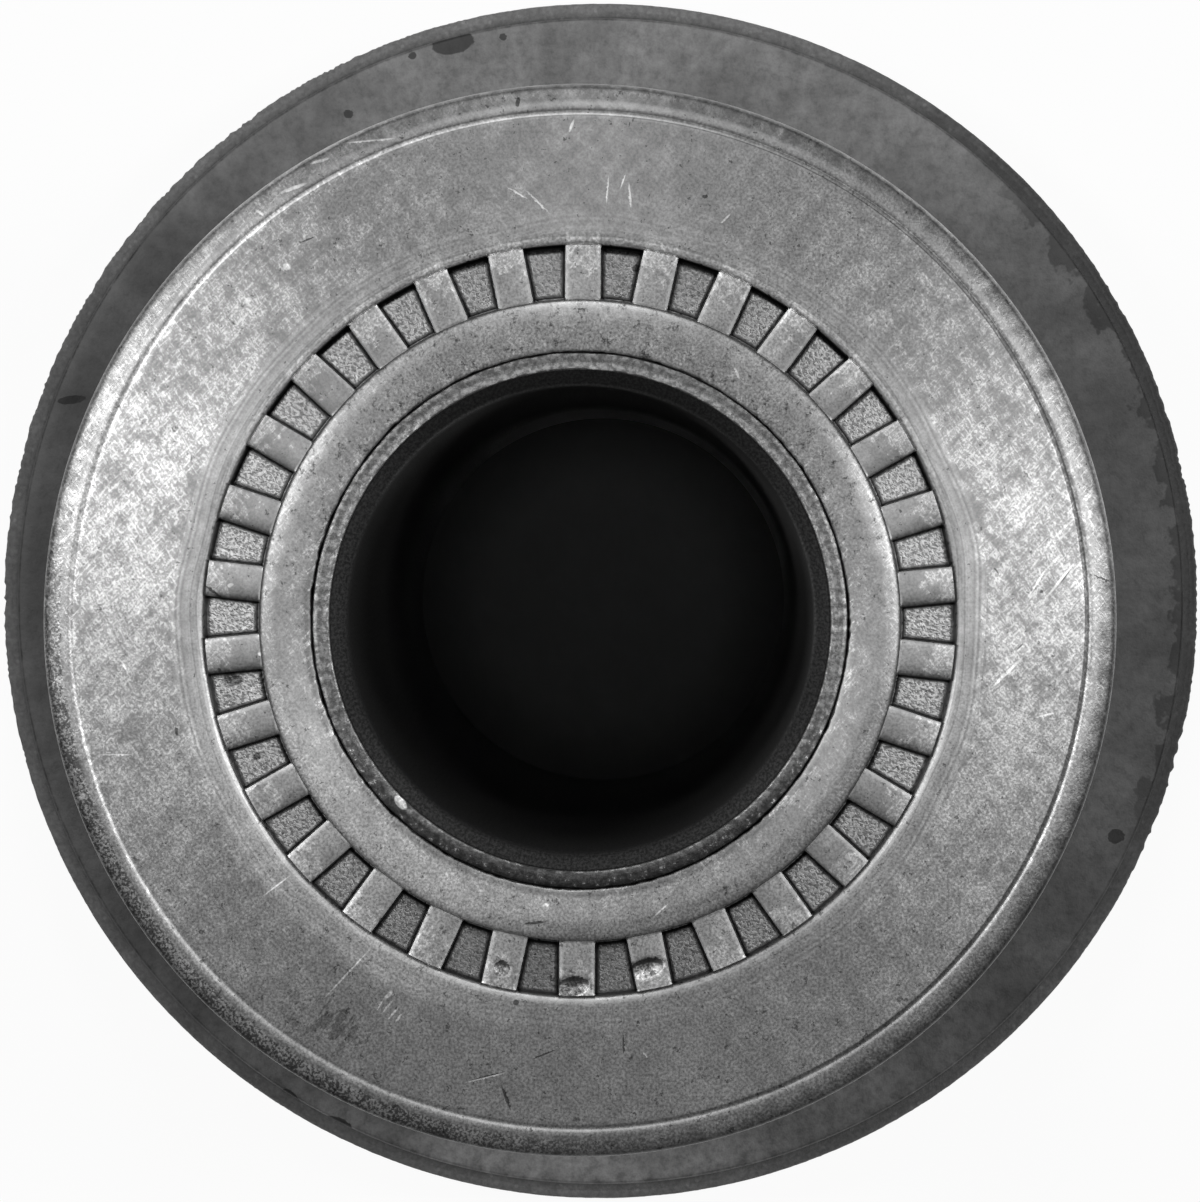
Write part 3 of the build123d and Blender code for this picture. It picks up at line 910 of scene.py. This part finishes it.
def liner_steel(settings):
    """Drawn tube steel: mottled end face, dull chamfer and a black oily bore, with light and shade painted by
    direction round the axis and down the bore.
    """
    material, g, shader, (flat, radius, angle, height) = surface("liner_steel")
    up = g.math("SINE", angle)
    mottle = g.noise(flat, 5.5, 3.0, 0.7)
    on_end = g.fit(height, LINER_TOP - 0.2, LINER_TOP - 0.1)
    in_bore = g.fade(radius, BORE_R + 0.02, BORE_R + 0.12)
    chamfer = g.band(radius, BORE_R + 0.1, LINER_FACE_R - 0.02, 0.03)

    # end face and chamfer, with painted light and shade: highlights on the rims at the sides, and the face
    # and chamfer lighter or darker by direction round the axis
    rims = g.most(g.band(radius, 7.85, 7.90, 0.03), g.band(radius, 7.46, 7.52, 0.03))
    rims = g.product(rims, g.math("ABSOLUTE", g.facing(angle)), on_end)
    fluff = g.product(g.oval(flat, (-5.34, -5.43), 0.28, 0.15, -50), on_end)
    bits = g.product(g.fit(up, -0.2, -0.6), g.band(radius, 7.74, 7.9, 0.05), on_end)
    bits = g.product(bits, g.fit(mottle, 0.62, 0.68))
    inwards = g.product(g.ramp(radius, BORE_R, LINER_FACE_R, 0.8, 1.0), g.fit(up, 0.5, 1.0, 1.0, 0.55))
    tone = g.toned(
        g.product(g.fit(mottle, 0.35, 0.65, 0.55, 1.25), g.fit(up, -1.0, 0.1, 0.28, 0.8)),
        (rims, 1.3),
        (fluff, 7.0),
        (bits, 4.0),
        (g.fit(up, -0.3, -0.8), g.fit(radius, 7.58, 7.72, 2.0, 0.55)),
        (g.fit(up, 0.2, 0.8), g.fit(radius, 7.6, 7.9, 1.0, 0.62)),
        (chamfer, g.product(inwards, g.fit(mottle, 0.35, 0.7, 0.55, 0.75))),
    )

    # bore: painted light makes it lighter on one side near its mouth and much lighter towards its far end, so
    # it is darkest in its middle
    facing = g.facing(angle, 1.22)
    entry = g.fit(facing, 0.3, 0.9, 3.2, 0.45)
    dark = g.product(
        g.fit(mottle, 0.3, 0.7, 0.6, 1.4),
        g.ramp(height, LINER_TOP - 14, LINER_TOP - 1, 1.0, entry),
        g.fit(facing, -1.0, 0.0, 0.42, 1.0),
        g.fit(facing, 0.0, 0.4, 1.0, 1.8),
        g.fit(facing, 0.4, 0.95, 1.0, 4.0),
        g.fit(height, 2.0, 30.0, 12.0, 1.0),
        g.fit(height, LINER_FOOT + 1.1, LINER_FOOT + 1.4, 0.25, 1.0),
    )
    sockets = {0: in_bore, 6: g.tint(settings.steel, tone), 7: g.tint(settings.bore, dark)}
    g.feed(shader["Base Color"], g.node("ShaderNodeMix", sockets, data_type="RGBA").outputs[2])
    g.feed(shader["Roughness"], g.fit(mottle, 0.3, 0.7, 0.5, 0.38))
    g.feed(shader["Metallic"], g.mix(g.most(in_bore, chamfer), 1.0, 0.3))
    g.feed(shader["Normal"], bump(g, mottle, 0.01))
    return material


class BUSH_OT_liner_tube(bpy.types.Operator):
    """Build the liner tube that lines the bore"""

    bl_idname = "bush.liner_tube"
    bl_label = "Liner Tube"

    def execute(self, context):
        settings = context.scene.bush_liner
        place(make_liner(), "liner_steel", liner_steel(settings), "liner_tube")
        return {"FINISHED"}


# ======== outer sleeve

# Blots of rubber on the flange and lip: middle x, y, half length, half width in mm, turn in degrees
BLOTS = (
    ((-5.39, 21.14), 0.85, 0.50, 10), ((-3.51, 21.33), 0.16, 0.14, 0), ((-6.89, 20.62), 0.17, 0.14, 0),
    ((-9.33, 18.44), 0.20, 0.15, 20), ((-14.29, 16.86), 0.28, 0.2, 50), ((-19.73, 7.66), 0.55, 0.16, 5),
    ((19.51, -8.67), 0.32, 0.30, 0), ((-9.78, -19.67), 0.8, 0.5, -25), ((-11.6, -18.5), 0.4, 0.3, -30),
)


def shell_section():
    """Section of the flanged outer sleeve, from the flange's seat outwards and round."""
    seat = line((SHELL_R + 0.5, FLANGE_SEAT), (FLANGE_R - 0.15, FLANGE_SEAT), 14)
    edge = arc((FLANGE_R - 0.12, FLANGE_SEAT - 0.12), 0.12, 90, 0, 5)
    rim = line((FLANGE_R, FLANGE_SEAT - 0.5), (FLANGE_R, FLANGE_UNDER + 0.2), 4)
    under = [(FLANGE_R, FLANGE_UNDER)]
    under += line((FLANGE_R - 1, FLANGE_UNDER), (SHELL_BORE_R + 0.5, FLANGE_UNDER), 5)
    bore = line((SHELL_BORE_R, FLANGE_UNDER), (SHELL_BORE_R, SHELL_TOP - 0.3), 10)
    mouth = arc((SHELL_BORE_R + 0.25, SHELL_TOP - 0.25), 0.25, 180, 90, 4)
    lead = [(SHELL_R - 0.6, SHELL_TOP), (SHELL_R - 0.5, SHELL_TOP - 0.04), (SHELL_R - 0.45, SHELL_TOP - 0.16)]
    lead += line((SHELL_R - 0.4, SHELL_TOP - 0.32), (SHELL_R - 0.04, SHELL_TOP - 1.45), 5)
    wall = [(SHELL_R - 0.01, SHELL_TOP - 1.55)] + line((SHELL_R, SHELL_TOP - 1.7), (SHELL_R, 9.5), 20)
    corner = arc((SHELL_R + 0.5, FLANGE_SEAT + 0.5), 0.5, 180, 260, 6)
    return seat + edge + rim + under + bore + mouth + lead + wall + corner


def make_shell():
    angles = round_angles(SHELL_COLUMNS)
    return skin("flanged_outer_sleeve", [ring(r, z, angles) for r, z in shell_section()])


def phosphated_steel(settings):
    """Grey phosphate coat with soft smears, faint radial streaks and blots of rubber, with painted light and
    shade: lighter at top and bottom, darker at the sides and most on the left, and lighter near the edge on
    the left.
    """
    material, g, shader, (flat, radius, angle, height) = surface("phosphated_steel")
    side = g.facing(angle)
    broad = g.noise(flat, 0.35, 4.0, 0.6)
    fine = g.noise(flat, 1.8, 3.0, 0.8)
    streaks = g.noise(g.vector(g.product(angle, 30.0), g.product(radius, 0.25)), 1.0, 2.0, 0.6)
    frayed = g.shift(flat, g.vector(g.product(fine, 0.3), g.product(broad, 0.3)))
    on_flange = g.fade(height, FLANGE_SEAT + 0.02, FLANGE_SEAT + 0.1)
    ragged = g.total(radius, g.ramp(g.noise(flat, 0.9, 3.0, 0.65), 0.3, 0.7, -0.5, 0.5))
    smear = g.product(g.fit(ragged, FLANGE_R - 0.45, FLANGE_R - 0.2), g.fit(g.facing(angle, 0.2), 0.76, 0.88))
    # painted light and shade by direction round the axis
    tone = g.toned(
        g.product(
            g.ramp(broad, 0.3, 0.7, 0.76, 1.24),
            g.ramp(fine, 0.3, 0.7, 0.62, 1.38),
            g.ramp(streaks, 0.3, 0.7, 0.92, 1.08),
            g.mix(g.math("POWER", side, 2.0), 1.2, 0.7),
            g.fit(side, -0.8, -0.2, 0.74, 1.0),
            g.fit(g.math("SINE", angle), -1.0, -0.7, 1.2, 1.0),
        ),
        (g.product(g.ovals(frayed, BLOTS, 0.8), on_flange), 0.25),
        (smear, 0.44),
        (g.fit(radius, FLANGE_R - 0.9, FLANGE_R), g.fit(side, -0.6, 0.2, 1.2, 1.0)),
    )
    g.feed(shader["Base Color"], g.tint(settings.phosphate, tone))
    g.feed(shader["Roughness"], g.ramp(fine, 0.3, 0.7, 0.48, 0.62))
    shader["Metallic"].default_value = 0.5
    g.feed(shader["Normal"], bump(g, fine, 0.012))
    return material


class BUSH_OT_outer_sleeve(bpy.types.Operator):
    """Build the flanged outer sleeve"""

    bl_idname = "bush.outer_sleeve"
    bl_label = "Outer Sleeve"

    def execute(self, context):
        settings = context.scene.bush_shell
        place(make_shell(), "phosphated_steel", phosphated_steel(settings), "outer_sleeve")
        return {"FINISHED"}


# ======== rubber

NOTCH_WIDTH = 3.0
NOTCH_TOP = 2.5
BOND = 0.02                   # how far the rubber's bonded walls reach into the metal


def rubber_section():
    """Section of the rubber: lip, bumper, hollow, and the two bonded walls up to the end groove."""
    inner, outer, under = BARREL_R - BOND, SHELL_BORE_R + BOND, FLANGE_UNDER - 0.02
    creep = ((-0.3, 0.3), (-0.02, 0.1), (0.05, 0.18), (0.13, 0.26), (0.22, 0.34))
    lip = [(FLANGE_R + out, FLANGE_SEAT - drop) for out, drop in creep] + [(LIP_R - 0.3, LIP_TOP)]
    lip += arc((LIP_R - 0.28, LIP_TOP - 0.28), 0.28, 90, 0, 6)
    side = line((LIP_R, LIP_TOP - 0.5), (LIP_R, 5.9), 5) + arc((LIP_R - 0.9, 5.75), 0.9, 0, -48, 6)
    taper = line((22.0, 5.05), (19.35, 1.62), 16) + arc((18.75, 2.0), 0.8, -38, -90, 6)
    foot = line((18.6, BUMPER_FOOT), (14.6, BUMPER_FOOT), 8) + arc((14.55, 1.6), 0.4, 270, 195, 5)
    roof = line((14.1, 2.0), (13.3, 5.2), 8) + arc((12.6, 4.95), 0.68, 15, 165, 8)
    skirt = line((11.9, 5.2), (inner + 0.1, 3.66), 5) + [(inner, 3.62)]
    bonded = line((inner, 4.6), (inner, RUBBER_TOP - 0.05), 10)
    end = [(inner, RUBBER_TOP), (inner + 0.08, RUBBER_TOP - 0.3)]
    end += line((inner + 0.2, RUBBER_TOP - 0.75), (12.25, 39.3), 8) + arc((13.0, 39.6), 0.8, 205, 335, 9)
    end += line((13.85, 39.5), (14.85, 41.0), 6) + [(15.0, 41.2), (outer, 41.1)]
    back = line((outer, 40.0), (outer, FLANGE_UNDER + 0.6), 8) + [(outer, under)]
    back += line((15.6, under), (FLANGE_R + 0.02, under), 6)
    inside = [(FLANGE_R - 0.02, under), (FLANGE_R - 0.02, LIP_TOP - 0.3)]
    return lip + side + taper + foot + roof + skirt + bonded + end + back + inside


def make_rubber(settings):
    """The moulding as one closed skin, with a rippled lip and notches in its foot."""
    ripple_mm = settings.ripple / MM
    pitch = TURN / max(settings.notches, 1)
    rings = []
    for radius, height in rubber_section():
        on_lip = float(np.interp(radius, [FLANGE_R, LIP_R - 0.2], [0, 1]) * (height > 5))
        angles = round_angles(RUBBER_COLUMNS * (2 if on_lip > 0 else 1))
        rough_sides = np.clip(np.cos(angles - 0.05) * 6 - 4.6, 0, 1)
        rough_sides = np.maximum(rough_sides, np.clip(np.cos(angles - math.radians(150)) * 3 - 1.7, 0, 1))
        uneven = 0.6 * np.abs(waves(angles, 31, 70, 140)) + 0.5 * np.abs(waves(angles, 32, 180, 330))
        radii = radius - ripple_mm * np.clip(uneven, 0, 1.5) * (0.15 + 0.85 * rough_sides) * on_lip
        heights = np.full_like(angles, height)
        if settings.notches and height < NOTCH_TOP and 13 < radius < 21:
            across = np.abs(radius * np.sin(nearest_turn(angles, pitch)))
            lift = np.interp(across, [NOTCH_WIDTH / 2 - 0.1, NOTCH_WIDTH / 2], [1, 0])
            heights = heights + (NOTCH_TOP - height) * lift
        rings.append(ring(radii, heights, angles))
    return skin("rubber_bumper_body", rings, sharp_angle=45.0)


def bush_rubber(settings):
    """Moulded black rubber with a dusty bloom and lighter specks, greyer along its lip, painted lighter
    towards the top and almost not at all on the right.
    """
    material, g, shader, (flat, radius, angle, height) = surface("bush_rubber")
    grain = g.noise(flat, 5.0, 2.0, 0.65)
    dust = g.mask("Specks", Place=flat, Spacing=0.7, Fill=0.12)
    # the lip's greyness is partly painted light: lighter towards the top, almost none on the right
    lip = g.product(
        g.band(height, LIP_TOP - 0.6, LIP_TOP + 0.1, 0.3),
        g.fit(radius, FLANGE_R, LIP_R - 0.15, 2.3, 3.3),
        g.fit(g.math("SINE", angle), 0.3, 1.0, 1.0, 1.3),
        g.fit(g.facing(angle, 0.3), 0.5, 0.95, 1.0, 0.08),
    )
    bloom_and_lip_light = g.total(g.fit(g.noise(flat, 0.5, 4.0, 0.6), 0.42, 0.68), lip)
    tone = g.product(g.ramp(grain, 0.3, 0.7, 0.8, 1.2), g.total(1.0, bloom_and_lip_light))
    g.feed(shader["Base Color"], g.tint(settings.rubber, g.toned(tone, (dust, 1.3))))
    g.feed(shader["Roughness"], g.mix(bloom_and_lip_light, 0.55, 0.75))
    g.feed(shader["Normal"], bump(g, grain, 0.03))
    return material


class BUSH_OT_rubber_body(bpy.types.Operator):
    """Build the rubber body with its lip and notched bumper"""

    bl_idname = "bush.rubber_body"
    bl_label = "Rubber Body"

    def execute(self, context):
        settings = context.scene.bush_rubber
        place(make_rubber(settings), "bush_rubber", bush_rubber(settings), "rubber_body")
        return {"FINISHED"}


# ======== studio

IMAGE_WIDTH, IMAGE_HEIGHT = 1200, 1202
SENSOR = 36.0
FACE_SCALE = 33.6             # image pixels to a millimetre on the head's face
CAMERA_X, CAMERA_Y = 2.958, 2.771
CAMERA_FOOT_X, CAMERA_FOOT_Y = 679.3, 527.3   # pixel that the camera's axis passes through
FLOOR_RADIUS, WALL_RADIUS, WALL_HEIGHT = 0.7, 0.95, 0.22
WALL_STEPS = 12
UNDER_RADIUS = 0.0175         # the plain patch under the bush ends here
UNDER_SHADE = (0.004, 0.0072, 1.0, 0.55)   # its radii between which it darkens, and how much
OPEN_RADIUS = 0.023           # from here on the floor shows as white
OPEN_WHITE = 0.94             # its share of plain white there
# Each lamp: name, azimuth and tilt from straight above in degrees, distance and size in metres,
# and how light it makes a white card that faces it
LAMPS = (
    ("right_lamp", 14, 22, 0.42, 0.06, 0.27),
    ("left_lamp", 160, 22, 0.42, 0.06, 0.27),
    ("back_lamp", 90, 27, 0.42, 0.06, 0.20),
)


def make_camera(settings):
    """Looks straight down from beside the bush's axis, with the frame shifted to hold all of it."""
    data = bpy.data.cameras.new("bush_camera")
    long_side = max(IMAGE_WIDTH, IMAGE_HEIGHT)
    data.sensor_width = SENSOR
    data.lens = FACE_SCALE * settings.camera_height / MM * SENSOR / long_side
    data.shift_x = (IMAGE_WIDTH / 2 - CAMERA_FOOT_X) / long_side
    data.shift_y = (CAMERA_FOOT_Y - IMAGE_HEIGHT / 2) / long_side
    data.clip_start, data.clip_end = 0.01, 10
    made = add_object("bush_camera", data)
    made.location = (CAMERA_X * MM, CAMERA_Y * MM, SLEEVE_TOP * MM + settings.camera_height)
    bpy.context.scene.camera = made


def make_lamps():
    for name, azimuth, tilt, distance, size, level in LAMPS:
        data = bpy.data.lights.new(name, "AREA")
        data.shape, data.size = "DISK", size
        data.energy = math.pi ** 2 * distance ** 2 * level
        made = add_object(name, data)
        a, t = math.radians(azimuth), math.radians(tilt)
        out = distance * math.sin(t)
        made.location = (out * math.cos(a), out * math.sin(a), distance * math.cos(t))
        made.rotation_euler = (-made.location).to_track_quat("-Z", "Y").to_euler()


def floor_material(settings, name, shown_white):
    """Pale matte floor that can't be seen from below; the open part shows as plain white."""
    material = bpy.data.materials.new(name)
    material.use_nodes = True
    material.node_tree.nodes.clear()
    g = Graph(material.node_tree)
    geometry = g.node("ShaderNodeNewGeometry").outputs
    out = g.vectors("LENGTH", geometry["Position"], output="Value")
    shade = 1.0 if shown_white else g.fit(out, *UNDER_SHADE)
    shown = matte = g.node("ShaderNodeBsdfDiffuse", {"Color": g.tint(settings.floor, shade)}).outputs[0]
    if shown_white:
        ray = g.node("ShaderNodeLightPath").outputs
        seen = g.most(ray["Is Camera Ray"], ray["Is Glossy Ray"], ray["Is Transmission Ray"])
        white = g.node("ShaderNodeEmission", {"Color": (1, 1, 1, 1), "Strength": 1.0}).outputs[0]
        share = g.product(seen, g.fit(out, UNDER_RADIUS, OPEN_RADIUS, 0.0, OPEN_WHITE))
        sockets = {0: share, 1: matte, 2: white}
        shown = g.node("ShaderNodeMixShader", sockets).outputs[0]
    clear = g.node("ShaderNodeBsdfTransparent").outputs[0]
    both = g.node("ShaderNodeMixShader", {0: geometry["Backfacing"], 1: shown, 2: clear}).outputs[0]
    g.feed(g.node("ShaderNodeOutputMaterial").inputs[0], both)
    return material


def make_disc(name, rows, material):
    """A round sheet from rows of (radius, height) in metres, closed where its first row is small."""
    angles = round_angles(DISC_COLUMNS)
    faces = []
    for i in range(len(rows) - 1):
        faces += band_faces(i * DISC_COLUMNS, DISC_COLUMNS, (i + 1) * DISC_COLUMNS, DISC_COLUMNS).tolist()
    if rows[0][0] <= UNDER_RADIUS / 2:
        faces.append(list(range(DISC_COLUMNS)))
    mesh = bpy.data.meshes.new(name)
    mesh.from_pydata(np.concatenate([ring(r, z, angles) for r, z in rows]).tolist(), [], faces)
    mesh.shade_smooth()
    mesh.materials.append(material)
    made = add_object(name, mesh)


def make_floor(settings):
    """Floor that curves up into a low wall all round, and a plain patch under the bush."""
    rows = [(UNDER_RADIUS, 0.0), (0.03, 0.0), (0.1, 0.0), (0.3, 0.0), (FLOOR_RADIUS, 0.0)]
    for step in range(1, WALL_STEPS + 1):
        a = step / WALL_STEPS * math.pi / 2
        out = FLOOR_RADIUS + (WALL_RADIUS - FLOOR_RADIUS) * math.sin(a)
        rows.append((out, WALL_HEIGHT * (1 - math.cos(a))))
    make_disc("studio_floor", rows, floor_material(settings, "pale_floor", True))
    rows = [(UNDER_RADIUS / 4, 0.0), (UNDER_RADIUS, 0.0)]
    make_disc("floor_under_bush", rows, floor_material(settings, "plain_floor", False))


def make_room(settings):
    """Even grey light from all round."""
    world = bpy.data.worlds.new("studio_room")
    world.use_nodes = True
    background = world.node_tree.nodes["Background"].inputs
    background["Color"].default_value = (1, 1, 1, 1)
    background["Strength"].default_value = settings.sky
    bpy.context.scene.world = world


class BUSH_OT_stage(bpy.types.Operator):
    """Set the floor, lamps and camera"""

    bl_idname = "bush.stage"
    bl_label = "Studio"

    def execute(self, context):
        settings = context.scene.bush_stage
        make_camera(settings)
        make_lamps()
        make_floor(settings)
        make_room(settings)
        context.scene.view_settings.view_transform = "Standard"
        return {"FINISHED"}


# ======== add-on

PIECES = (BUSH_OT_inner_sleeve, BUSH_OT_liner_tube, BUSH_OT_outer_sleeve, BUSH_OT_rubber_body, BUSH_OT_stage)
SETTINGS = (
    ("bush_head", BUSH_PG_head),
    ("bush_liner", BUSH_PG_liner),
    ("bush_shell", BUSH_PG_shell),
    ("bush_rubber", BUSH_PG_rubber),
    ("bush_stage", BUSH_PG_stage),
)


class BUSH_PT_panel(bpy.types.Panel):
    """Lists the bush's settings and the buttons that build it"""

    bl_idname = "BUSH_PT_panel"
    bl_label = "Bush"
    bl_space_type = "VIEW_3D"
    bl_region_type = "UI"
    bl_category = "Bush"

    def draw(self, context):
        for (name, group), piece in zip(SETTINGS, PIECES):
            box = self.layout.box()
            for key in group.__annotations__:
                box.prop(getattr(context.scene, name), key)
            box.operator(piece.bl_idname)


def register():
    for name, group in SETTINGS:
        bpy.utils.register_class(group)
        setattr(bpy.types.Scene, name, PointerProperty(type=group))
    for shown in (*PIECES, BUSH_PT_panel):
        bpy.utils.register_class(shown)


def unregister():
    for shown in reversed((*PIECES, BUSH_PT_panel)):
        bpy.utils.unregister_class(shown)
    for name, group in reversed(SETTINGS):
        delattr(bpy.types.Scene, name)
        bpy.utils.unregister_class(group)


def main():
    register()
    for make_effect in EFFECTS:
        make_effect()
    for piece in PIECES:
        area, action = piece.bl_idname.split(".")
        getattr(getattr(bpy.ops, area), action)()


if __name__ == "__main__":
    main()
